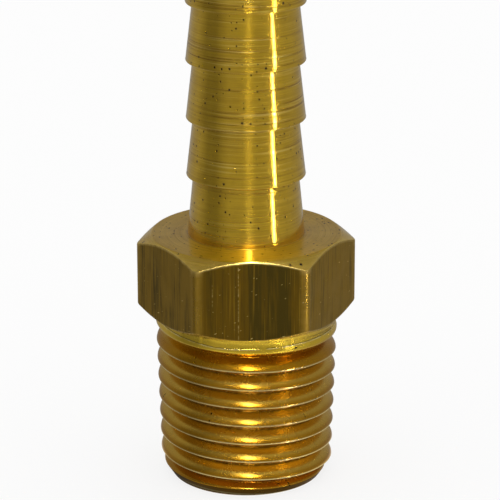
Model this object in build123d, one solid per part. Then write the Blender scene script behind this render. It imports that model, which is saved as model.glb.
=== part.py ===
"""Hose barb tail: barbed hose stem, hexagon and left-hand taper pipe thread, one turned piece of brass."""
import os
from math import ceil, cos, pi, radians, sin, tan

from build123d import *

# Frame: the axis is Z, the thread end face lies at Z = 0 and the hose tail points up (+Z).
# All sizes are millimetres, all angles degrees.

# Taper pipe thread 1/4-18: 18 threads to the inch, 1 in 16 on diameter, 60 degree flanks.
threads_per_inch = 18
thread_taper = 1 / 16
thread_flank_angle = 60
thread_hand = -1                    # -1 left-hand, 1 right-hand
thread_pitch_diameter = 12.126      # of the pitch cone at the thread end face
thread_blank_diameter = 12.66       # of the turned blank at the thread end face: flat crests
thread_full_height = 11.37          # height of the groove centre where the run-out begins
thread_full_bearing = 147           # bearing of that place, counter-clockwise from +X
thread_runout_angle = 180           # how far round the groove goes before it has left the blank
stem_length = 12.55                 # thread end face to the underside of the hexagon
end_face_diameter = 11.12
end_chamfer_height = 1.2

# Hexagon, drawn bar with rounded corners, cut back by a cone above and below.
hex_across_flats = 14.0
hex_height = 6.0
hex_corner_radius = 0.5
hex_top_circle = 13.8
hex_top_angle = 33
hex_bottom_circle = 13.9
hex_bottom_angle = 30

# Hose tail: saw-tooth barbs over a tapered neck.
barb_count = 4
barb_pitch = 4.27
barb_diameter = 8.7
barb_root_diameter = 7.72
barb_edge_break = 0.1
neck_length = 4.45
neck_base_diameter = 8.6
nose_chamfer = 0.4

# Straight through bore.
bore_diameter = 5.5
bore_chamfer = 0.3

thread_pitch = 25.4 / threads_per_inch
flank_slope = tan(radians(thread_flank_angle / 2))
hex_top = stem_length + hex_height
first_barb = hex_top + neck_length
total_height = first_barb + barb_count * barb_pitch


def blank_radius(z):
    return thread_blank_diameter / 2 + z * thread_taper / 2


def root_radius(z):
    below_pitch_cone = thread_pitch / 4 / flank_slope
    return thread_pitch_diameter / 2 + z * thread_taper / 2 - below_pitch_cone


def revolved(points):
    section = make_face(Polyline(*[(r, 0, z) for r, z in points], close=True))
    return revolve(section, Axis.Z)


def hose_tail():
    """Neck and barbs, standing on the hexagon; the last barb ends in a plain chamfered nose."""
    outline = [
        (0, stem_length + hex_height / 2),
        (neck_base_diameter / 2, stem_length + hex_height / 2),
        (neck_base_diameter / 2, hex_top),
        (barb_root_diameter / 2, first_barb),
    ]
    for barb in range(barb_count):
        edge = first_barb + barb * barb_pitch
        outline.append((barb_diameter / 2 - barb_edge_break, edge))
        outline.append((barb_diameter / 2, edge + barb_edge_break))
        outline.append((barb_root_diameter / 2, edge + barb_pitch))
    cone_slope = (barb_diameter - barb_root_diameter) / 2 / barb_pitch
    outline[-1] = (barb_root_diameter / 2 + cone_slope * nose_chamfer, total_height - nose_chamfer)
    outline.append((barb_root_diameter / 2 - nose_chamfer, total_height))
    outline.append((0, total_height))
    return revolved(outline)


def hexagon():
    """Bar section trimmed by the two chamfer cones, so the corners fall away in curves."""
    bar = RegularPolygon(hex_across_flats / 2, 6, major_radius=False)
    bar = fillet(bar.vertices(), hex_corner_radius)
    prism = Pos(0, 0, stem_length) * extrude(bar, hex_height)
    reach = hex_across_flats / 2 / cos(pi / 6) + 0.2
    top_drop = (reach - hex_top_circle / 2) * tan(radians(hex_top_angle))
    bottom_rise = (reach - hex_bottom_circle / 2) * tan(radians(hex_bottom_angle))
    cones = revolved([
        (0, stem_length),
        (hex_bottom_circle / 2, stem_length),
        (reach, stem_length + bottom_rise),
        (reach, hex_top - top_drop),
        (hex_top_circle / 2, hex_top),
        (0, hex_top),
    ])
    return prism & cones


def thread_groove():
    """The helical V groove the thread tool leaves. It starts below the end face and runs up at full
    depth, then rises out of the blank over thread_runout_angle."""
    clearance = 0.25
    steps_per_turn = 16
    runout_turns = thread_runout_angle / 360
    turns_down = (thread_full_height + 0.95 * thread_pitch) / thread_pitch
    first = -ceil(runout_turns * steps_per_turn)
    last = ceil(turns_down * steps_per_turn)
    low_edge, root_edge, high_edge = [], [], []
    for step in range(first, last + 1):
        turn = step / steps_per_turn
        centre = thread_full_height - thread_pitch * turn
        bearing = radians(thread_full_bearing - thread_hand * 360 * turn)
        depth = blank_radius(centre) - root_radius(centre)
        lift = max(0, -turn / runout_turns) * (depth + 0.05)
        inner = root_radius(centre) + lift
        outer = inner + depth + clearance
        opening = (outer - inner) * flank_slope
        root_edge.append(Vector(inner * cos(bearing), inner * sin(bearing), centre))
        mouth = Vector(outer * cos(bearing), outer * sin(bearing), centre)
        low_edge.append(mouth - Vector(0, 0, opening))
        high_edge.append(mouth + Vector(0, 0, opening))
    edges = [low_edge, root_edge, high_edge]
    curves = [Edge.make_spline(points) for points in edges]
    sides = [Face.make_surface_from_curves(curves[i - 1], curves[i]) for i in range(3)]
    ends = [Face(Wire.make_polygon([points[end] for points in edges])) for end in (0, -1)]
    return Solid(Shell(sides + ends))


def threaded_stem():
    """Taper blank with the groove cut in it, then faced and chamfered at its end."""
    below = -1.5 * thread_pitch
    top = stem_length + hex_height / 2
    blank = revolved([(0, below), (blank_radius(below), below), (blank_radius(top), top), (0, top)])
    spread = (blank_radius(end_chamfer_height) - end_face_diameter / 2) / end_chamfer_height
    beyond = end_chamfer_height + 2
    facing = revolved([
        (0, 0),
        (end_face_diameter / 2, 0),
        (end_face_diameter / 2 + spread * beyond, beyond),
        (end_face_diameter / 2 + spread * beyond, top),
        (0, top),
    ])
    return (blank - thread_groove()) & facing


def bore():
    cut = bore_diameter / 2
    wide = cut + bore_chamfer + 1
    return revolved([
        (0, -1),
        (wide, -1),
        (cut, bore_chamfer),
        (cut, total_height - bore_chamfer),
        (wide, total_height + 1),
        (0, total_height + 1),
    ])


os.makedirs("parts", exist_ok=True)
part = threaded_stem() + hexagon() + hose_tail() - bore()
hose_barb_tail = part.solids()[0]
hose_barb_tail.label = "hose_barb_tail"
export_step(hose_barb_tail, "parts/hose_barb_tail.step")
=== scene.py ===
import math

import bpy
from mathutils import Matrix, Vector


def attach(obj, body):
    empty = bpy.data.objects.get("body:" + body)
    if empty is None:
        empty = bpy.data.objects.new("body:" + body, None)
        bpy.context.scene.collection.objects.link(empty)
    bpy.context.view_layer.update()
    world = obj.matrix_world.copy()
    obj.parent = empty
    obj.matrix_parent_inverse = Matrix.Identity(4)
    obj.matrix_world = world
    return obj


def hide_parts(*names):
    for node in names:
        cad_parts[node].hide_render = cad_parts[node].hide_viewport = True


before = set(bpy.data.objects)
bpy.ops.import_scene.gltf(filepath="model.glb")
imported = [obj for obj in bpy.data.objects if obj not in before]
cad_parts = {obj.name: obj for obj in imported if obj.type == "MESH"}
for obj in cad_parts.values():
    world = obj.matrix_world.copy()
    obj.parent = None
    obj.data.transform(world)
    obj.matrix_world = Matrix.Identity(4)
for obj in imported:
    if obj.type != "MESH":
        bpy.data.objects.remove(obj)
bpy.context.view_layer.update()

print("frame loaded:", sorted(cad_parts))


class Field:
    # a socket of a node tree that takes part in plain arithmetic
    def __init__(self, tree, socket):
        self.tree = tree
        self.socket = socket

    def math(self, operation, *others, clamp=False):
        made = self.tree.nodes.new("ShaderNodeMath")
        made.operation = operation
        made.use_clamp = clamp
        for slot, value in enumerate((self,) + others):
            feed(self.tree, made.inputs[slot], value)
        return Field(self.tree, made.outputs[0])

    def __add__(self, other):
        return self.math("ADD", other)

    def __radd__(self, other):
        return self.math("ADD", other)

    def __sub__(self, other):
        return self.math("SUBTRACT", other)

    def __rsub__(self, other):
        return (self * -1).math("ADD", other)

    def __mul__(self, other):
        return self.math("MULTIPLY", other)

    def __rmul__(self, other):
        return self.math("MULTIPLY", other)

    def __truediv__(self, other):
        return self.math("DIVIDE", other)

    def __rtruediv__(self, other):
        return self.math("POWER", -1) * other

    def __neg__(self):
        return self * -1


def feed(tree, socket, value):
    if isinstance(value, Field):
        tree.links.new(value.socket, socket)
    elif isinstance(value, bpy.types.NodeSocket):
        tree.links.new(value, socket)
    else:
        socket.default_value = value


def node(tree, kind, settings=None, **inputs):
    made = tree.nodes.new(kind)
    for key, value in (settings or {}).items():
        setattr(made, key, value)
    for key, value in inputs.items():
        feed(tree, made.inputs[key.replace("_", " ")], value)
    return made


def partsOf(tree, where):
    split = node(tree, "ShaderNodeSeparateXYZ", Vector=where)
    return [Field(tree, out) for out in split.outputs]


def vector(tree, x, y, z):
    return node(tree, "ShaderNodeCombineXYZ", X=x, Y=y, Z=z).outputs[0]


def noise(tree, where, scale=1.0, detail=2.0, roughness=0.5, distortion=0.0):
    made = node(tree, "ShaderNodeTexNoise", Vector=where, Scale=scale, Detail=detail, Roughness=roughness,
                Distortion=distortion)
    return Field(tree, made.outputs[0])


def unit(field):
    return field.math("MULTIPLY", 1.0, clamp=True)        # kept between 0 and 1


def ramp(field, low, high):
    return unit((field - low) / (high - low))             # 0 below low, 1 above high


def hat(offset, width):
    return unit(1 - offset.math("ABSOLUTE") / width)      # 1 on the line, 0 beyond the width


def window(field, low, high, soft):
    return unit((field - low) / soft) * unit((high - field) / soft)      # 1 between low and high, with soft ends


# all lengths are in millimetres until the parts are joined
fitting = {
    "Columns per side": 36,
    "Columns per corner": 5,
    "Corner span": 2.2,          # degrees on each side of a corner that its columns cover
    "Thread pitch": 25.4 / 18,
    "Taper": 1 / 32,             # on radius
    "Pitch radius": 6.063,
    "Blank radius": 6.33,
    "Flank slope": math.tan(math.radians(30)),
    "Full height": 11.37,        # where the groove starts to run out
    "Full bearing": -123.0,
    "Run-out turns": 0.5,
    "Stem length": 12.55,
    "End radius": 5.56,
    "End chamfer": 1.2,
    "Hexagon apothem": 7.0,
    "Hexagon height": 6.0,
    "Corner radius": 0.5,
    "Top circle": 6.9,
    "Top slope": math.tan(math.radians(33)),
    "Bottom circle": 6.95,
    "Bottom slope": math.tan(math.radians(30)),
    "Barbs": 4,
    "Barb pitch": 4.27,
    "Barb radius": 4.35,
    "Barb root": 3.86,
    "Lip round": 0.1,
    "Neck length": 4.45,
    "Neck base": 4.3,
    "Nose chamfer": 0.4,
    "Bore radius": 2.75,
    "Bore chamfer": 0.3,
}
edgeWear = {
    "Crest round": 0.9,          # reach of the soft upper side of each ridge
    "Crest edge": 0.06,
    "Run-out round": 0.55,
    "Root round": 0.015,
    "Crest lean": 0.1,
    "End round": 0.06,
    "Fillet": 0.08,
    "Run-out lift": 0.05,        # how far over the blank the root rises in the end
    "Chatter": 0.006,            # height of the waves that the tool leaves
    "Chatter across": 0.14,      # waves per millimetre
    "Chatter along": 3.1,
    "Chatter slant": 0.6,        # a step outwards counts as this much of a step up
    "Edge round": 0.09,
}
grooveRows = {
    "Below": (0.0, 0.07, 0.14),             # up from the middle of the ridge under the groove
    # shares of half the groove's width
    "Walls": (-1.0, -0.84, -0.68, -0.52, -0.34, -0.15, -0.03, 0.0, 0.03, 0.3, 0.7, 0.9, 0.97, 1.0),
    "Edge": (0.025, 0.06),                  # above the groove
    "Above": (0.08, 0.0),                   # down from the middle of the ridge over the groove
    "Wear": (0.0,) * 14 + (0.4, 1.0, 1.0, 1.0, 0.7, 0.0, 0.0),
    # Hollow shade: each row's share of the groove colours, painted light and shade that stand in for the groove's own
    # shading
    "Hollow shade": (0.0, 0.05, 0.15, 0.3, 0.4, 0.45, 0.5, 0.5, 0.55, 0.9, 1.0, 0.9, 0.5, 0.5, 0.5, 0.4, 0.2) + (0.0,) * 4,
}
layout = {
    "Weld": 0.004,               # points closer than this become one
    "Barb rows": 31,
    "Straight": (0.25, 0.5, 0.75),          # where rows cross the flats and the bore
    "Flat rows": (4, 5),         # faces under a flat in a column, and on it besides those for Straight
}
firstBearing = 30                            # bearing of the first column, on a corner of the hexagon
turned, drawn, threaded = 0, 1, 2            # the finish of each face


def newTree(name, sizes):
    tree = bpy.data.node_groups.new(name, "GeometryNodeTree")
    tree.interface.new_socket(name="Geometry", in_out="OUTPUT", socket_type="NodeSocketGeometry")
    for label, value in sizes.items():
        kind = "NodeSocketInt" if isinstance(value, int) else "NodeSocketFloat"
        socket = tree.interface.new_socket(name=label, in_out="INPUT", socket_type=kind)
        socket.default_value = value
    given = tree.nodes.new("NodeGroupInput")
    return tree, {label: Field(tree, given.outputs[label]) for label in sizes}


def bearingOf(column, size):
    # degrees from -Y towards +X, starting on a corner; columns crowd together at the rounded corners
    perSide, perCorner, span = size["Columns per side"], size["Columns per corner"], size["Corner span"]
    side = (column / perSide + 0.0001).math("FLOOR")
    step = column - side * perSide
    middle = perSide - 2 * perCorner
    return (60 * side + firstBearing
            + span * unit(step / perCorner)
            + (60 - 2 * span) * unit((step - perCorner) / middle)
            + span * unit((step - perCorner - middle) / perCorner))


def pick(tree, index, values):
    switch = tree.nodes.new("GeometryNodeIndexSwitch")
    switch.data_type = "FLOAT"
    while len(switch.index_switch_items) < len(values):
        switch.index_switch_items.new()
    feed(tree, switch.inputs["Index"], index)
    for place, value in enumerate(values):
        feed(tree, switch.inputs[place + 1], value)
    return Field(tree, switch.outputs[0])


def wrapped(tree, size, place, turns=1):
    # a grid whose columns go round the axis; place gives the number of rows, and each row's radius,
    # height, wear and painted hollow shade (painted light and shade in corners and grooves)
    columns = size["Columns per side"] * 6 * turns
    count = node(tree, "FunctionNodeInputInt")
    rows = Field(tree, count.outputs[0])
    grid = node(tree, "GeometryNodeMeshGrid", Size_X=1.0, Size_Y=1.0, Vertices_X=columns + 1, Vertices_Y=rows)
    index = Field(tree, tree.nodes.new("GeometryNodeInputIndex").outputs[0])
    column = ((index + 0.5) / rows).math("FLOOR")
    row = index - column * rows
    bearing = bearingOf(column, size)
    count.integer, radius, height, worn, hollowShade = place(row, bearing)
    angle = bearing * (math.pi / 180)
    spot = vector(tree, radius * angle.math("SINE"), -(radius * angle.math("COSINE")), height)
    moved = node(tree, "GeometryNodeSetPosition", Geometry=grid.outputs["Mesh"], Position=spot)
    marked = moved.outputs[0]
    for name, amount in (("wear", worn), ("painted_hollow_shade", hollowShade)):
        stored = node(tree, "GeometryNodeStoreNamedAttribute", {"data_type": "FLOAT", "domain": "POINT"},
                      Geometry=marked, Name=name)
        feed(tree, stored.inputs["Value"], amount)
        marked = stored.outputs[0]
    return marked, rows


def lathe(tree, size, profile):
    # profile runs up the outside, in over the top and down the bore, so faces point outwards
    def place(row, bearing):
        spots = [spot + (0.0,) * (4 - len(spot)) for spot in profile(size, bearing)]
        return [len(spots)] + [pick(tree, row, values) for values in zip(*spots)]
    return wrapped(tree, size, place)


def finished(tree, geometry, finish):
    stored = node(tree, "GeometryNodeStoreNamedAttribute", {"data_type": "INT", "domain": "FACE"},
                  Geometry=geometry, Name="finish")
    feed(tree, stored.inputs["Value"], finish)
    return stored.outputs[0]


def blankRadius(size, height):
    return size["Blank radius"] + height * size["Taper"]


def rootRadius(size, height):
    return size["Pitch radius"] + height * size["Taper"] - size["Thread pitch"] / 4 / size["Flank slope"]


def runout(size, centre):
    rise = unit((centre - size["Full height"]) / size["Thread pitch"] / size["Run-out turns"])
    return rise * (blankRadius(size, centre) - rootRadius(size, centre) + size["Run-out lift"])


def grooveReach(size, centre):
    # half the width of the groove where it meets the blank
    reach = (blankRadius(size, centre) - rootRadius(size, centre) - runout(size, centre)) * size["Flank slope"]
    return reach.math("MAXIMUM", 0)


def grooveWall(size, centre, height):
    # how far out the wall of the groove at this centre stands at a height
    offset = height - centre
    depth = (offset * offset + size["Root round"] * size["Root round"]).math("SQRT") / size["Flank slope"]
    return rootRadius(size, centre) + runout(size, centre) + depth


def threadRadius(size, bearing, height):
    # distance from the axis of the threaded surface, by bearing and height
    pitch = size["Thread pitch"]
    turns = (height - size["Full height"]) / pitch + (bearing - size["Full bearing"]) / 360
    nearest = (turns + 0.5).math("FLOOR")
    above = (turns - nearest).math("GREATER_THAN", 0)
    upper = height - (turns - nearest - above) * pitch               # centres of the grooves over and under the ridge
    lower = upper - pitch
    # the tool leaves a full round on the ridge and a sharp lower edge, soft only where it ran out
    early = unit((lower - size["Full height"]) / pitch * 4 + 4)
    rise = (height - lower - grooveReach(size, lower)).math("MAXIMUM", 0)
    crest = blankRadius(size, height) - size["Crest lean"] * (1 - early) * rise
    ridge = crest.math("SMOOTH_MIN", grooveWall(size, upper, height), size["Crest round"])
    sharp = size["Crest edge"] + early * (size["Run-out round"] - size["Crest edge"])
    radius = ridge.math("SMOOTH_MIN", grooveWall(size, lower, height), sharp)
    spread = (blankRadius(size, size["End chamfer"]) - size["End radius"]) / size["End chamfer"]
    return radius.math("SMOOTH_MIN", size["End radius"] + spread * height, size["End round"])


def hexRadius(size, bearing):
    # bar section: flats joined by small round corners
    flat, corner = size["Hexagon apothem"], size["Corner radius"]
    turn = (bearing / 60).math("FRACT")
    fromCorner = (turn - 0.5).math("ABSOLUTE") * (math.pi / 3)
    flatSide = flat / (math.pi / 6 - fromCorner).math("COSINE")
    centre = (flat - corner) / math.cos(math.pi / 6)
    across = centre * fromCorner.math("SINE")
    arc = centre * fromCorner.math("COSINE") + (corner * corner - across * across).math("MAXIMUM", 0).math("SQRT")
    tangent = math.pi / 6 - ((flat - corner) * math.tan(math.pi / 6) / flat).math("ARCTANGENT")
    onArc = fromCorner.math("LESS_THAN", tangent)
    return arc * onArc + flatSide * (1 - onArc)


def threadStrip(tree, size):
    # one band that follows the groove from above the collar to below the end face
    pitch = size["Thread pitch"]
    lead = (firstBearing - size["Full bearing"]) / 360
    lift = ((size["Stem length"] - size["Full height"]) / pitch + 0.5 + lead).math("CEIL")
    top = size["Full height"] + pitch * (lift - lead)
    turns = ((top + pitch / 2) / pitch).math("CEIL")

    def place(row, bearing):
        centre = top - pitch * (bearing - firstBearing) / 360
        reach = grooveReach(size, centre)
        half = pitch / 2
        offsets = [-half + step for step in grooveRows["Below"]]
        offsets += [reach * share for share in grooveRows["Walls"]]
        offsets += [reach + step for step in grooveRows["Edge"]]
        offsets += [half - step for step in grooveRows["Above"]]
        height = (centre + pick(tree, row, offsets)).math("MAXIMUM", 0).math("MINIMUM", size["Stem length"])
        late = 1 - unit((centre - size["Full height"]) / pitch * 3 + 3)
        worn = pick(tree, row, grooveRows["Wear"]) * late
        hollowShade = pick(tree, row, grooveRows["Hollow shade"]) * late
        return len(offsets), threadRadius(size, bearing, height), height, worn, hollowShade
    return wrapped(tree, size, place, turns)[0]


def hexagonProfile(size, bearing):
    top = size["Stem length"] + size["Hexagon height"]
    bottom = size["Stem length"]
    collar = blankRadius(size, bottom)
    edge = size["Edge round"]
    across = hexRadius(size, bearing)
    high = top - (across - size["Top circle"]) * size["Top slope"]
    low = bottom + (across - size["Bottom circle"]) * size["Bottom slope"]
    inset, inner = across - edge * 0.25, across - edge * 0.9
    corner = unit(1.35 - ((bearing / 60).math("FRACT") - 0.5).math("ABSOLUTE") * 60 / size["Corner span"] * 0.75)
    edged = 0.55 + corner * 0.45
    # the fourth value of a spot is painted hollow shade: the collar corner and the foot of the neck are painted dark
    # as if in shade
    spots = [(collar, bottom, 0.0, 1.0), (size["Bottom circle"] - 0.1, bottom)]
    spots += [(size["Bottom circle"], bottom + 0.004)]
    spots += [(inner, low - edge * 0.45, 0.2), (inset, low + edge * 0.1, 0.5), (across, low + edge, corner)]
    spots += [(across, low + edge + 0.1, corner)]
    spots += [(across, low + (high - low) * share, corner) for share in layout["Straight"]]
    spots += [(across, high - edge - 0.1, corner), (across, high - edge, edged)]
    spots += [(inset, high - edge * 0.1, 1.0), (inner, high + edge * 0.5, 0.6)]
    spots += [(size["Top circle"] + 0.02, top - 0.012), (size["Top circle"] - 0.03, top)]
    spots += [(size["Top circle"] - 0.15, top), (5.6, top), (size["Neck base"] + 0.12, top)]
    return spots + [(size["Neck base"] + 0.03, top, 0.0, 0.5), (size["Neck base"], top, 0.0, 1.0)]


def fillet(size, height):
    # the hollow that the tool's nose leaves under each barb
    spots = []
    # the hollow is painted darker the deeper into the corner, painted shade under the barb
    for degrees, hollowShade in ((0, 0.0), (22, 0.2), (42, 0.5), (62, 0.8), (90, 1.0)):
        turn = math.radians(degrees)
        spots.append((size["Barb root"] + size["Fillet"] * (1 - math.cos(turn)),
                      height - size["Fillet"] * (1 - math.sin(turn)), 0.0, hollowShade))
    return spots


def neckProfile(size, bearing):
    top = size["Stem length"] + size["Hexagon height"]
    first = top + size["Neck length"]
    base, root = size["Neck base"], size["Barb root"]
    # painted shade in the corner at the foot of the neck
    spots = [(base, top, 0.0, 1.0)]
    spots += [(base + (root - base) * share, top + (first - size["Fillet"] - top) * share)
              for share in (0.01, 0.25, 0.5, 0.75, 0.95)]
    return spots + fillet(size, first)


def barbProfile(size, bearing):
    reach, root, rise, lip = size["Barb radius"], size["Barb root"], size["Barb pitch"], size["Lip round"]
    # painted shade in the corner under the lip
    spots = [(root + size["Fillet"], 0.0, 0.0, 1.0), (reach - lip, 0.0)]
    for degrees in (20, 42, 64, 84):
        turn = math.radians(degrees)
        spots.append((reach - lip + lip * math.sin(turn), lip - lip * math.cos(turn), 0.3))
    straight = rise - size["Fillet"]
    for step in range(1, layout["Barb rows"]):
        share = step / layout["Barb rows"]
        spots.append((reach + (root - reach) * share, straight * share))
    return spots + fillet(size, rise)


def boreProfile(size, bearing):
    top = (size["Stem length"] + size["Hexagon height"] + size["Neck length"]
           + size["Barbs"] * size["Barb pitch"])
    nose = size["Barb root"] - size["Nose chamfer"]
    wall, cut = size["Bore radius"], size["Bore chamfer"]
    inner = [(nose, top), (nose - 0.05, top), (wall + cut + 0.03, top), (wall + cut, top - 0.01)]
    inner += [(wall + 0.02, top - cut + 0.01), (wall, top - cut - 0.04)]
    inner += [(wall, top * (1 - share)) for share in layout["Straight"]]
    inner += [(wall, cut + 0.04), (wall + 0.02, cut - 0.01), (wall + cut, 0.01), (wall + cut + 0.03, 0.0)]
    inner += [(size["End radius"] - 0.1, 0.0)]
    return inner + [(threadRadius(size, bearing, bearing * 0), 0.0)]


def joinedInMetres(tree, parts, selections):
    joined = tree.nodes.new("GeometryNodeJoinGeometry")
    for part in parts:
        tree.links.new(part, joined.inputs[0])
    welded = node(tree, "GeometryNodeMergeByDistance", Geometry=joined.outputs[0], Distance=layout["Weld"])
    placed = node(tree, "GeometryNodeTransform", Geometry=welded.outputs[0], Scale=(0.001, 0.001, 0.001))
    smooth = node(tree, "GeometryNodeSetShadeSmooth", Geometry=placed.outputs[0])
    geometry = node(tree, "GeometryNodeRealizeInstances", Geometry=smooth.outputs[0]).outputs[0]
    read = node(tree, "GeometryNodeInputNamedAttribute", {"data_type": "INT"}, Name="finish")
    for finish, material in selections.items():
        same = node(tree, "FunctionNodeCompare", {"data_type": "INT", "operation": "EQUAL"})
        tree.links.new(read.outputs[0], same.inputs[2])
        same.inputs[3].default_value = finish
        put = node(tree, "GeometryNodeSetMaterial", Geometry=geometry, Selection=same.outputs[0], Material=material)
        geometry = put.outputs[0]
    return geometry


def fittingTree(materials):
    sizes = dict(fitting, **edgeWear)
    tree, size = newTree("barbedFitting", sizes)
    thread = finished(tree, threadStrip(tree, size), threaded)
    bar, rows = lathe(tree, size, hexagonProfile)
    index = Field(tree, tree.nodes.new("GeometryNodeInputIndex").outputs[0])
    row = index.math("MODULO", rows - 1)
    under, along = layout["Flat rows"]
    along += len(layout["Straight"])
    onFlats = row.math("GREATER_THAN", under - 0.5) * row.math("LESS_THAN", under + along - 0.5)
    hexagon = finished(tree, bar, onFlats * drawn)
    neck = finished(tree, lathe(tree, size, neckProfile)[0], turned)
    bore = finished(tree, lathe(tree, size, boreProfile)[0], turned)
    barb = lathe(tree, size, barbProfile)[0]
    first = size["Stem length"] + size["Hexagon height"] + size["Neck length"]
    line = node(tree, "GeometryNodeMeshLine", Count=size["Barbs"], Start_Location=vector(tree, 0, 0, first),
                Offset=vector(tree, 0, 0, size["Barb pitch"]))
    copies = node(tree, "GeometryNodeInstanceOnPoints", Points=line.outputs[0], Instance=barb)
    barbs = node(tree, "GeometryNodeRealizeInstances", Geometry=copies.outputs[0]).outputs[0]
    # the nose chamfer trims the top of the last barb
    x, y, z = partsOf(tree, node(tree, "GeometryNodeInputPosition").outputs[0])
    radius = (x * x + y * y).math("SQRT")
    top = first + size["Barbs"] * size["Barb pitch"]
    slope = (size["Barb radius"] - size["Barb root"]) / size["Barb pitch"]
    cone = size["Barb root"] - size["Nose chamfer"] + (top - z) * (1 + slope)
    # chatter: the tool's rings stand out as shallow waves in the metal
    wide, fine = size["Chatter across"], size["Chatter along"]
    wave = vector(tree, x * wide, y * wide, (z + radius * size["Chatter slant"]) * fine)
    hollow = (noise(tree, wave, roughness=0.6) - 0.8) * size["Chatter"]         # inwards only
    clear = unit((radius - size["Barb root"] - 0.04) * 8)                       # none in the corners
    cone = cone.math("MINIMUM", radius + hollow * clear)
    trim = radius.math("MINIMUM", cone) / radius
    nosed = node(tree, "GeometryNodeSetPosition", Geometry=barbs,
                 Position=vector(tree, x * trim, y * trim, z)).outputs[0]
    barbs = finished(tree, nosed, turned)
    done = joinedInMetres(tree, [thread, hexagon, neck, barbs, bore], materials)
    out = tree.nodes.new("NodeGroupOutput")
    tree.links.new(done, out.inputs[0])
    return tree, sizes


def grow(name, tree, sizes):
    holder = bpy.data.objects.new(name + "Holder", bpy.data.meshes.new(name + "Holder"))
    bpy.context.scene.collection.objects.link(holder)
    modifier = holder.modifiers.new(name, "NODES")
    modifier.node_group = tree
    for item in tree.interface.items_tree:
        if item.in_out == "INPUT":
            modifier[item.identifier] = sizes[item.name]
    graph = bpy.context.evaluated_depsgraph_get()
    plain = bpy.data.meshes.new_from_object(holder.evaluated_get(graph), preserve_all_data_layers=True,
                                            depsgraph=graph)
    plain.name = name
    bpy.data.objects.remove(holder)
    made = bpy.data.objects.new(name, plain)
    bpy.context.scene.collection.objects.link(made)
    return made


def newGroup(name, inputs, outputs):
    group = bpy.data.node_groups.new(name, "ShaderNodeTree")
    for label, value in inputs.items():
        socket = group.interface.new_socket(name=label, in_out="INPUT", socket_type="NodeSocketFloat")
        socket.default_value = value
    for label in outputs:
        group.interface.new_socket(name=label, in_out="OUTPUT", socket_type="NodeSocketFloat")
    given = group.nodes.new("NodeGroupInput")
    return group, {label: Field(group, given.outputs[label]) for label in inputs}


def closeGroup(group, results):
    out = group.nodes.new("NodeGroupOutput")
    for label, field in results.items():
        feed(group, out.inputs[label], field)
    return group


def millimetres(tree):
    place = tree.nodes.new("ShaderNodeTexCoord").outputs["Object"]
    scaled = node(tree, "ShaderNodeVectorMath", {"operation": "MULTIPLY"})
    feed(tree, scaled.inputs[0], place)
    scaled.inputs[1].default_value = (1000, 1000, 1000)
    return scaled.outputs[0]


slant = 1.3            # in ring and pit patterns, a step outwards counts as this much of a step up
meanRadius = 4.2       # the pits' pattern is unrolled at this radius


def makeRings():
    # marks left by the turning tool: they run round the axis on every cone and face; the glint and shade outputs are
    # painted light, bright rings and darker bands that stand in for the light the rings catch
    group, given = newGroup("turningRings", {"Spacing": 0.3, "Wander": 0.05, "Scores": 1.0},
                            ["Height", "Score", "Painted ring glint", "Painted ring shade"])
    x, y, z = partsOf(group, millimetres(group))
    along = z + (x * x + y * y).math("SQRT") * slant
    across, deep = x * given["Wander"], y * given["Wander"]
    wide = noise(group, vector(group, across * 3, deep * 3, along * 0.55 + 40), detail=2.0)
    coarse = noise(group, vector(group, across, deep, along / given["Spacing"]), detail=2.0, roughness=0.6)
    fine = noise(group, vector(group, across * 2.5 + 3, deep * 2.5, along / given["Spacing"] * 2.7), detail=2.0)
    patch = ramp(wide, 0.38, 0.58)
    score = ramp(coarse, 0.56, 0.64) * (0.25 + patch * 0.75) * given["Scores"]
    ringGlint = ramp(fine, 0.58, 0.68) * (0.3 + patch * 0.7) * given["Scores"]
    return closeGroup(group, {"Height": coarse * -0.7 + fine * 0.3, "Score": score, "Painted ring glint": ringGlint,
                              "Painted ring shade": ramp(fine, 0.35, 0.65)})


def makeGrain():
    # lines left by the drawing die: they run along the bar
    group, given = newGroup("drawnGrain", {"Spacing": 0.09, "Stretch": 0.05}, ["Height", "Streak", "Line", "Nick"])
    x, y, z = partsOf(group, millimetres(group))
    spacing, stretch = given["Spacing"], given["Stretch"]
    fine = noise(group, vector(group, x / spacing, y / spacing, z * stretch / spacing), detail=3.0, roughness=0.6)
    streak = noise(group, vector(group, x * 1.6, y * 1.6, z * 0.12 + 3), detail=2.0, roughness=0.55)
    rare = noise(group, vector(group, x * 7 + 5, y * 7, z * 0.16), detail=1.0)
    nick = noise(group, vector(group, x * 2.6 + z * 1.6, y * 2.6, z * 7.5 - x * 3), detail=1.0)
    return closeGroup(group, {"Height": fine + streak * 0.6, "Streak": ramp(streak, 0.35, 0.65),
                              "Line": ramp(rare, 0.58, 0.66), "Nick": ramp(nick, 0.755, 0.78)})


def makePits():
    # small dark pits, laid out on the unrolled surface and gathered in patches
    group, given = newGroup("pits", {"Spacing": 0.5, "Size": 0.04, "Share": 0.3}, ["Pit", "Rim"])
    where = millimetres(group)
    x, y, z = partsOf(group, where)
    around = x.math("ARCTAN2", -y) * meanRadius
    along = z + (x * x + y * y).math("SQRT") * slant
    shake = noise(group, where, scale=9.0, detail=1.0)
    crowd = noise(group, where, scale=0.45, detail=1.0)
    cells = node(group, "ShaderNodeTexVoronoi", {"voronoi_dimensions": "2D"},
                 Vector=vector(group, around, along, 0.0), Scale=1 / given["Spacing"], Randomness=1.0)
    away = Field(group, cells.outputs["Distance"]) * given["Spacing"] + (shake - 0.5) * 0.04
    chance = node(group, "ShaderNodeSeparateColor", Color=cells.outputs["Color"])
    lot, other = Field(group, chance.outputs[0]), Field(group, chance.outputs[1])
    size = given["Size"] * (0.4 + other * other)
    chosen = (given["Share"] * ramp(crowd, 0.3, 0.7) * 2).math("GREATER_THAN", lot)
    return closeGroup(group, {"Pit": ramp(size - away, -0.015, 0.01) * chosen,
                              "Rim": ramp(size * 1.7 - away, -0.01, 0.03) * chosen})


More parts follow.
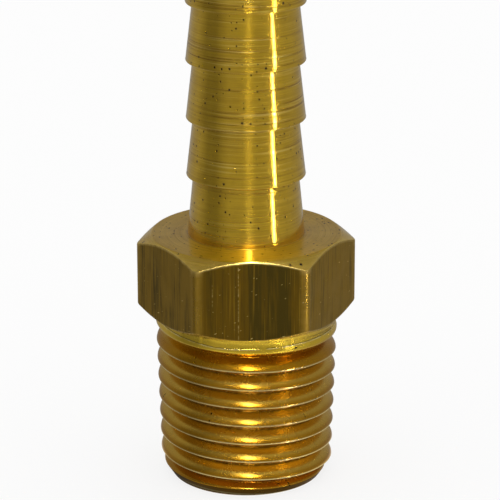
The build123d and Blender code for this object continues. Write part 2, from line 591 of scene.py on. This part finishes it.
def makeTarnish():
    # handling and age: cloudy patches, from clean at 0 to dull at 1
    group, given = newGroup("tarnish", {"Size": 3.0, "Detail": 4.0}, ["Dull", "Speck"])
    where = millimetres(group)
    cloud = noise(group, where, scale=1 / given["Size"], detail=given["Detail"], roughness=0.6, distortion=0.4)
    speck = noise(group, where, scale=5.5, detail=2.0, roughness=0.7)
    return closeGroup(group, {"Dull": ramp(cloud, 0.35, 0.68), "Speck": ramp(speck, 0.62, 0.72)})


scarPath = {
    "Height": 11.86,
    "Width": 0.035,
    "Climb": 0.0105,             # per degree
    "Climb from": -22,           # the line climbs to the left of this bearing
    "Bearings": (-82, 98),
    "Soft ends": 12,             # degrees over which the line fades in
    "Shake": 0.08,               # how far it wanders up and down
    "Burr drop": 0.075,
    "Burr width": 0.05,
}


def makeScar():
    # the line where the threading tool ran out on the collar, and the bright burr under it
    group, given = newGroup("collarScar", {"Height": 12.0, "Width": 0.03}, ["Line", "Burr"])
    where = millimetres(group)
    x, y, z = partsOf(group, where)
    bearing = x.math("ARCTAN2", -y) * (180 / math.pi)
    line = given["Height"] + (scarPath["Climb from"] - bearing).math("MAXIMUM", 0) * scarPath["Climb"]
    shake = noise(group, where, scale=1.3, detail=3.0, roughness=0.7)
    off = z - line - (shake - 0.5) * scarPath["Shake"]
    there = window(bearing, *scarPath["Bearings"], scarPath["Soft ends"])
    cut = hat(off, given["Width"]) * ramp(shake, 0.30, 0.42)
    burr = hat(off + scarPath["Burr drop"], scarPath["Burr width"]) * ramp(shake, 0.38, 0.55)
    return closeGroup(group, {"Line": cut * there, "Burr": burr * there})


def makeWear():
    # bare metal on the edges and painted shade in the corners that the mesh marks, broken up by chance
    group, given = newGroup("edgeWear", {"Reach": 0.6}, ["Bare", "Painted hollow shade"])
    where = millimetres(group)
    rough = (noise(group, where, scale=2.2, detail=3.0, roughness=0.6) - 0.5) * given["Reach"] * 2
    marks = [Field(group, node(group, "ShaderNodeAttribute", {"attribute_name": name}).outputs["Fac"])
             for name in ("wear", "painted_hollow_shade")]
    return closeGroup(group, {"Bare": unit(marks[0] * (0.8 + rough)), "Painted hollow shade": unit(marks[1] * (0.8 - rough))})


rings, grain, pits, tarnish, scar, wear = (makeRings(), makeGrain(), makePits(), makeTarnish(), makeScar(),
                                           makeWear())


def use(tree, group, **inputs):
    made = tree.nodes.new("ShaderNodeGroup")
    made.node_tree = group
    for label, value in inputs.items():
        made.inputs[label].default_value = value
    return {out.name: Field(tree, out) for out in made.outputs}


def mixed(tree, factor, first, second):
    made = node(tree, "ShaderNodeMix", {"data_type": "RGBA", "clamp_factor": True})
    feed(tree, made.inputs[0], factor)
    for socket, value in ((made.inputs[6], first), (made.inputs[7], second)):
        feed(tree, socket, (*value, 1) if isinstance(value, tuple) else value)
    return made.outputs[2]


def newMetal(name):
    material = bpy.data.materials.new(name)
    material.use_nodes = True
    shader = material.node_tree.nodes["Principled BSDF"]
    shader.inputs["Metallic"].default_value = 1
    return material, material.node_tree, shader


def bump(tree, height, depth):
    made = node(tree, "ShaderNodeBump", Strength=1.0, Distance=depth / 1000)
    feed(tree, made.inputs["Height"], height)
    return made.outputs[0]


turnedLook = {
    "Clean": (0.80, 0.51, 0.021),
    "Dull": (0.42, 0.23, 0.012),
    "Bare": (0.98, 0.70, 0.16),
    # colour of the painted shade in corners and in the hollows under the barbs
    "Hollow shade": (0.30, 0.15, 0.012),
    "Pit": (0.02, 0.01, 0.003),
    "Edge tint": (1.0, 0.96, 0.86),
    "Ring depth": 0.006,
    "Roughness": 0.15,
    "Oil": 0.55,
    "Faced": 0.34,               # added roughness of the face that the neck stands on
    "Fine feed below": 22.6,     # the neck and the face under it were cut with a finer feed
    "Coat roughness": 0.12,
    "Anisotropy": 0.7,
    "Anisotropy turn": 0.25,
    "Pit depth": 5,              # in ring depths
}


def turnedBrass(look):
    material, tree, shader = newMetal("turnedBrass")
    ring = use(tree, rings, Spacing=0.19, Wander=0.06, Scores=0.85)
    spots = use(tree, pits, Spacing=0.5, Size=0.05, Share=0.36)
    age = use(tree, tarnish, Size=1.7)
    edge = use(tree, wear, Reach=0.6)
    z = partsOf(tree, millimetres(tree))[2]
    face = hat(z - fitting["Stem length"] - fitting["Hexagon height"], 0.08)
    calm = unit(face + unit((look["Fine feed below"] - z) * 5))
    # the last term is painted shade that follows the ring relief
    dull = age["Dull"] * 0.25 + ring["Score"] * (0.95 - calm * 0.75) + (1 - ring["Painted ring shade"]) * 0.25
    color = mixed(tree, dull, look["Clean"], look["Dull"])
    # the ring glint is a painted highlight on the rings, mixed in with real edge wear
    color = mixed(tree, edge["Bare"] * 0.9 + ring["Painted ring glint"] * (0.8 - calm * 0.6), color, look["Bare"])
    # painted shade: corners and fillets darkened as if in shade
    color = mixed(tree, edge["Painted hollow shade"] * 0.8, color, look["Hollow shade"])
    color = mixed(tree, spots["Rim"] * 0.5, color, look["Dull"])
    color = mixed(tree, spots["Pit"], color, look["Pit"])
    tree.links.new(color, shader.inputs["Base Color"])
    rough = look["Roughness"] + face * look["Faced"] + ring["Score"] * 0.2 + age["Dull"] * 0.06 + spots["Pit"] * 0.4
    feed(tree, shader.inputs["Roughness"], rough)
    shader.inputs["Specular Tint"].default_value = (*look["Edge tint"], 1)
    shader.inputs["Anisotropic"].default_value = look["Anisotropy"]
    shader.inputs["Anisotropic Rotation"].default_value = look["Anisotropy turn"]
    shader.inputs["Coat Weight"].default_value = look["Oil"]
    shader.inputs["Coat Roughness"].default_value = look["Coat roughness"]
    tangent = node(tree, "ShaderNodeTangent", {"direction_type": "RADIAL", "axis": "Z"})
    tree.links.new(tangent.outputs[0], shader.inputs["Tangent"])
    height = ring["Height"] * (1.1 - calm * 0.8) - spots["Pit"] * look["Pit depth"]
    feed(tree, shader.inputs["Normal"], bump(tree, height, look["Ring depth"]))
    return material


drawnLook = {
    # the front flat's skin is a darker copy of the side skin, a painted dark reflection
    "Skin": (0.178, 0.100, 0.0095),
    "Side skin": (0.33, 0.195, 0.02),
    "Dark": (0.095, 0.064, 0.0105),
    "Bare": (0.38, 0.215, 0.018),
    "Bright": (1.0, 0.74, 0.24),
    "Edge tint": (1.0, 0.97, 0.85),
    "Margin": (3.35, 3.95),       # worn band along both sides of a flat
    "Front shade": (-0.25, 2.95),       # darker strip painted on the front flat, painted shade
    "Score": -0.92,               # one long scratch on the front flat
    "Short score": (-2.77, 15.1, 16.9),
    "Rim glint heights": (17.4, 17.8),  # the top edges are bare above these, with a painted highlight on them
    "Line depth": 0.003,
    "Roughness": 0.40,
}


def drawnBrass(look):
    material, tree, shader = newMetal("drawnBrass")
    line = use(tree, grain, Spacing=0.14, Stretch=0.04)
    age = use(tree, tarnish, Size=2.2)
    edge = use(tree, wear, Reach=0.9)
    x, y, z = partsOf(tree, millimetres(tree))
    turn = (x.math("ARCTAN2", -y) * (3 / math.pi) + 0.5).math("FRACT") - 0.5
    across = (turn * (math.pi / 3)).math("TANGENT") * fitting["Hexagon apothem"]
    front = (-y).math("GREATER_THAN", fitting["Hexagon apothem"] - 0.3)
    low, high = look["Margin"]
    margin = ramp(across.math("ABSOLUTE"), low, high) * (0.2 + 0.8 * front)
    # painted shade: a darker strip across the front flat
    frontShade = window(across + (line["Streak"] - 0.5) * 0.3, *look["Front shade"], 0.12) * front
    spot, bottom, top = look["Short score"]
    cuts = hat(across - look["Score"], 0.05) + hat(across - spot, 0.05) * window(z, bottom, top, 0.2) * 0.7
    dull = (line["Streak"] - 0.5) * 0.35 + (line["Height"] - 0.8) * 2.4 + age["Dull"] * 0.25 + frontShade * 0.85
    # painted shade: the front flat takes the darker copy of the skin
    color = mixed(tree, dull, mixed(tree, front, look["Side skin"], look["Skin"]), look["Dark"])
    color = mixed(tree, line["Line"] * 0.5 + margin * 0.9 + edge["Bare"] * 0.3, color, look["Bare"])
    broken = ramp(noise(tree, vector(tree, 0.0, 0.0, z * 3.7)), 0.42, 0.62)
    # partly real wear, partly a painted highlight along the top edges of the flats
    rimWearAndGlint = edge["Bare"] * (0.1 + 0.4 * ramp(z, *look["Rim glint heights"]))
    color = mixed(tree, cuts * front * 0.5 * broken + line["Nick"] * 0.8 + rimWearAndGlint, color, look["Bright"])
    tree.links.new(color, shader.inputs["Base Color"])
    feed(tree, shader.inputs["Roughness"], look["Roughness"] + age["Dull"] * 0.1 - edge["Bare"] * 0.2)
    shader.inputs["Specular Tint"].default_value = (*look["Edge tint"], 1)
    feed(tree, shader.inputs["Normal"], bump(tree, line["Height"], look["Line depth"]))
    return material


threadLook = {
    "Clean": (0.50, 0.238, 0.006),
    "Dull": (0.38, 0.175, 0.004),
    "Bare": (1.0, 0.85, 0.40),
    # Flank is painted light, a brighter colour on the groove walls that lifts them out of their own shade; Root is
    # painted shade at the groove bottoms
    "Flank": (0.67, 0.41, 0.055),
    "Root": (0.14, 0.07, 0.004),
    "Foot": (0.46, 0.22, 0.012),
    "Collar": (0.86, 0.585, 0.045),
    "Scar": (0.06, 0.03, 0.006),
    "Pit": (0.02, 0.01, 0.003),
    "Edge tint": (1.0, 0.96, 0.86),
    "Ring depth": 0.0006,
    "Roughness": 0.22,
    "Oil": 0.13,
    "Coat roughness": 0.2,
    "Foot height": 1.7,           # darker below this, painted shade towards the foot
    "Collar heights": (10.8, 11.5),
    "Pit depth": 27,              # in ring depths, as the next two are
    "Scar depth": 27,
    "Burr height": 13,
}


def threadBrass(look):
    material, tree, shader = newMetal("threadBrass")
    ring = use(tree, rings, Spacing=0.2, Wander=0.2, Scores=0.4)
    spots = use(tree, pits, Spacing=0.7, Size=0.05, Share=0.12)
    age = use(tree, tarnish, Size=1.4)
    edge = use(tree, wear, Reach=0.3)
    end = use(tree, scar, Height=scarPath["Height"], Width=scarPath["Width"])
    color = mixed(tree, age["Dull"] * 0.5 + age["Speck"] * 0.4 + ring["Score"] * 0.3, look["Clean"], look["Dull"])
    z = partsOf(tree, millimetres(tree))[2]
    # painted light and shade in the grooves: walls lightened, roots darkened
    color = mixed(tree, ramp(edge["Painted hollow shade"], 0.0, 0.38), color, look["Flank"])
    color = mixed(tree, ramp(edge["Painted hollow shade"], 0.5, 0.75) * 0.7, color, look["Root"])
    # painted shade: the thread darkens towards its foot
    color = mixed(tree, unit((look["Foot height"] - z) * 1.6), color, look["Foot"])
    collar = ramp(z, *look["Collar heights"])
    color = mixed(tree, collar * 0.9, color, look["Collar"])
    color = mixed(tree, edge["Bare"] + end["Burr"], color, look["Bare"])
    color = mixed(tree, end["Line"], color, look["Scar"])
    color = mixed(tree, spots["Pit"], color, look["Pit"])
    tree.links.new(color, shader.inputs["Base Color"])
    feed(tree, shader.inputs["Roughness"], look["Roughness"] + age["Dull"] * 0.08 + spots["Pit"] * 0.4)
    shader.inputs["Specular Tint"].default_value = (*look["Edge tint"], 1)
    shader.inputs["Coat Weight"].default_value = look["Oil"]
    shader.inputs["Coat Roughness"].default_value = look["Coat roughness"]
    height = ring["Height"] * (1 - collar * 0.8) - spots["Pit"] * look["Pit depth"]
    height = height - end["Line"] * look["Scar depth"] + end["Burr"] * look["Burr height"]
    feed(tree, shader.inputs["Normal"], bump(tree, height, look["Ring depth"]))
    return material


materials = {turned: turnedBrass(turnedLook), drawn: drawnBrass(drawnLook), threaded: threadBrass(threadLook)}
print("finishes ready")
tree, sizes = fittingTree(materials)
tail = grow("hoseBarbTail", tree, sizes)
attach(tail, "root")
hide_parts("hose_barb_tail")
triangles = sum(len(face.vertices) - 2 for face in tail.data.polygons)
print("fitting:", len(tail.data.vertices), "points,", triangles, "triangles")


view = {
    "Bearing": -3.0,          # degrees from -Y, seen from above
    "Elevation": 18.3,
    "Distance": 0.1991,
    "Look height": 0.01713,   # metres, as the distance is
    "Focal pixels": 2714,
    "Frame pixels": 500,
    "Right shift": 3.77,      # pixels between the axis and the middle of the frame
    "Roll": -0.1,
}
bearing, lift = math.radians(view["Bearing"]), math.radians(view["Elevation"])
towards = Vector((math.sin(bearing) * math.cos(lift), -math.cos(bearing) * math.cos(lift), math.sin(lift)))
right = Vector((math.cos(bearing), math.sin(bearing), 0))
up = towards.cross(right)
turn = Matrix((right, up, towards)).transposed().to_4x4()
camera = bpy.data.objects.new("camera", bpy.data.cameras.new("camera"))
bpy.context.scene.collection.objects.link(camera)
camera.data.sensor_width = 36
camera.data.lens = view["Focal pixels"] / view["Frame pixels"] * camera.data.sensor_width
camera.data.clip_start = 0.005
camera.data.clip_end = 20
aim = Vector((0, 0, view["Look height"])) + right * view["Right shift"] / view["Focal pixels"] * view["Distance"]
camera.matrix_world = (Matrix.Translation(aim + towards * view["Distance"]) @ turn
                       @ Matrix.Rotation(math.radians(view["Roll"]), 4, "Z"))
bpy.context.scene.camera = camera
print("camera placed")


studio = {
    "Floor": 0.95,
    "Floor reach": 3,             # metres
    "Shadow share": 0.2,          # how much of the floor's own shade the background keeps
    "Surround": 0.95,             # level of the world as light
    "Cloth": 0.385,
    "Dark side": 0.48,
    "Dark bearings": (-114, -38),
    "Dark soft": 27,
    "Sides": 0.1,
    "Side bearings": (95, 125),
    "Strip": 75.0,
    "Strip bearing": 53.5,
    "Strip offset": 0.003,
    "Strip spread": 0.0105,
    "Strip fade": (0.04, 0.14),   # metres from the axis over which it comes up to its full level
    "Strip foot": 0.12,           # its share of that level beside the object
    "Strip glow": 0.3,
    "Glow width": 28,
    "Streak": 0.3,
    "Streak bearing": 3.5,
    "Streak width": 10,
    "Streak start": 0.09,
    "Neck streak": 3,             # added strength nearer than the end, which only the neck mirrors
    "Neck streak end": 0.23,
    "Lamp": 52.0,
    "Lamp bearings": (-1.5, 8.5),
    "Lamp elevations": (19, 70),
    "Lamp sides": 5,              # degrees over which it fades at its sides
    "Lamp fades": (6, 35),        # and at its foot and its top
    "Foot shade": 0.3,            # the cloth is dark right under the foot and bright round it
    "Foot ring": (0.0065, 0.0074),
    "Bright ring": (0.0115, 0.016),
    "Tent centre": 0.02,
    "Tent": ((0.005, 0.00002), (0.012, 0.0001), (0.05, 0.0002), (0.3, 0.0002), (1.0, 0.001), (1.2, 0.15),
             (1.25, 0.4), (1.1, 0.8), (0.7, 1.1), (0.3, 1.2), (0.002, 1.22)),
}


def seenOnly(tree):
    # 1 where the camera, a reflection or a refraction looks, 0 where the surface only gives light
    path = tree.nodes.new("ShaderNodeLightPath")
    seen = Field(tree, path.outputs["Is Camera Ray"])
    seen = seen + Field(tree, path.outputs["Is Glossy Ray"])
    return unit(seen + Field(tree, path.outputs["Is Transmission Ray"]))


def staged(name, points, faces, material):
    mesh = bpy.data.meshes.new(name)
    mesh.from_pydata(points, [], faces)
    mesh.materials.append(material)
    made = bpy.data.objects.new(name, mesh)
    bpy.context.scene.collection.objects.link(made)
    return made


def tentTone():
    # how bright the tent is by direction: grey cloth, a narrow strip lamp, a soft lamp in front, one dark side
    material = bpy.data.materials.new("tentCloth")
    material.use_nodes = True
    tree = material.node_tree
    tree.nodes.remove(tree.nodes["Principled BSDF"])
    x, y, z = partsOf(tree, tree.nodes.new("ShaderNodeTexCoord").outputs["Object"])
    bearing = x.math("ARCTAN2", -y) * (180 / math.pi)
    distance = (x * x + y * y).math("SQRT")
    elevation = (z - studio["Tent centre"]).math("ARCTAN2", distance) * (180 / math.pi)
    theta = math.radians(studio["Strip bearing"])
    ahead = x * math.sin(theta) - y * math.cos(theta)
    aside = x * math.cos(theta) + y * math.sin(theta) + studio["Strip offset"] * unit(1.3 - distance * 4)
    spread = aside.math("ABSOLUTE") / (ahead - 0.005).math("MAXIMUM", 0.001)
    # the strip starts 8 mm in front of the axis and ends 1 degree over the middle
    strip = unit((studio["Strip spread"] - spread) / studio["Strip spread"] * 4) * unit(ahead * 1000 - 8)
    foot = studio["Strip foot"]
    strip = strip * unit((1 - elevation) / 3) * (foot + (1 - foot) * ramp(distance, *studio["Strip fade"]))
    glow = hat(bearing - studio["Strip bearing"], studio["Glow width"]) * studio["Strip glow"]
    streak = hat(bearing - studio["Streak bearing"], studio["Streak width"]) * studio["Streak"]
    streak = streak * unit((distance - studio["Streak start"]) * 20)
    streak = streak * (1 + studio["Neck streak"] * unit((studio["Neck streak end"] - distance) * 20))
    dark = window(bearing, *studio["Dark bearings"], studio["Dark soft"]) * studio["Dark side"]
    sides = ramp(bearing.math("ABSOLUTE"), *studio["Side bearings"]) * studio["Sides"]
    low, high = studio["Lamp elevations"]
    rise, fall = studio["Lamp fades"]
    lamp = window(bearing, *studio["Lamp bearings"], studio["Lamp sides"])
    lamp = lamp * unit((elevation - low) / rise) * unit((high - elevation) / fall)
    shade = studio["Foot shade"]
    near = shade + (2 - shade) * ramp(distance, *studio["Foot ring"]) - ramp(distance, *studio["Bright ring"])
    tone = studio["Cloth"] * (1 + glow + streak) * (1 - dark) * (1 - sides) * near
    tone = tone + strip * studio["Strip"] * near + lamp * studio["Lamp"]
    light = node(tree, "ShaderNodeEmission", Strength=tone)
    tree.links.new(light.outputs[0], tree.nodes["Material Output"].inputs[0])
    return material


def tent(profile, steps=128):
    # a bowl with a roof, which only reflections see
    points, faces = [], []
    for distance, height in profile:
        for step in range(steps):
            turn = 2 * math.pi * step / steps
            points.append((distance * math.sin(turn), -distance * math.cos(turn), height))
    for ring in range(len(profile) - 1):
        for step in range(steps):
            after = (step + 1) % steps
            faces.append((ring * steps + step, ring * steps + after,
                          (ring + 1) * steps + after, (ring + 1) * steps + step))
    made = staged("lightTent", points, faces, tentTone())
    made.visible_camera = False
    made.visible_diffuse = False
    made.visible_shadow = False


floorPaint = bpy.data.materials.new("paleFloor")
floorPaint.use_nodes = True
tree = floorPaint.node_tree
paper = tree.nodes["Principled BSDF"]
paper.inputs["Base Color"].default_value = (studio["Floor"],) * 3 + (1,)
paper.inputs["Specular IOR Level"].default_value = 0
white = node(tree, "ShaderNodeEmission", Strength=1.0)
blend = tree.nodes.new("ShaderNodeMixShader")
feed(tree, blend.inputs[0], seenOnly(tree) * (1 - studio["Shadow share"]))
tree.links.new(paper.outputs[0], blend.inputs[1])
tree.links.new(white.outputs[0], blend.inputs[2])
tree.links.new(blend.outputs[0], tree.nodes["Material Output"].inputs[0])
reach = studio["Floor reach"]
staged("floor", [(-reach, -reach, 0), (reach, -reach, 0), (reach, reach, 0), (-reach, reach, 0)], [(0, 1, 2, 3)],
       floorPaint)

world = bpy.data.worlds.new("studio")
bpy.context.scene.world = world
world.use_nodes = True
tree = world.node_tree
level = studio["Surround"] + seenOnly(tree) * (1 - studio["Surround"])
tree.nodes["Background"].inputs["Color"].default_value = (1, 1, 1, 1)
feed(tree, tree.nodes["Background"].inputs["Strength"], level)

tent(studio["Tent"])
bpy.context.scene.view_settings.view_transform = "Standard"
print("studio lit")
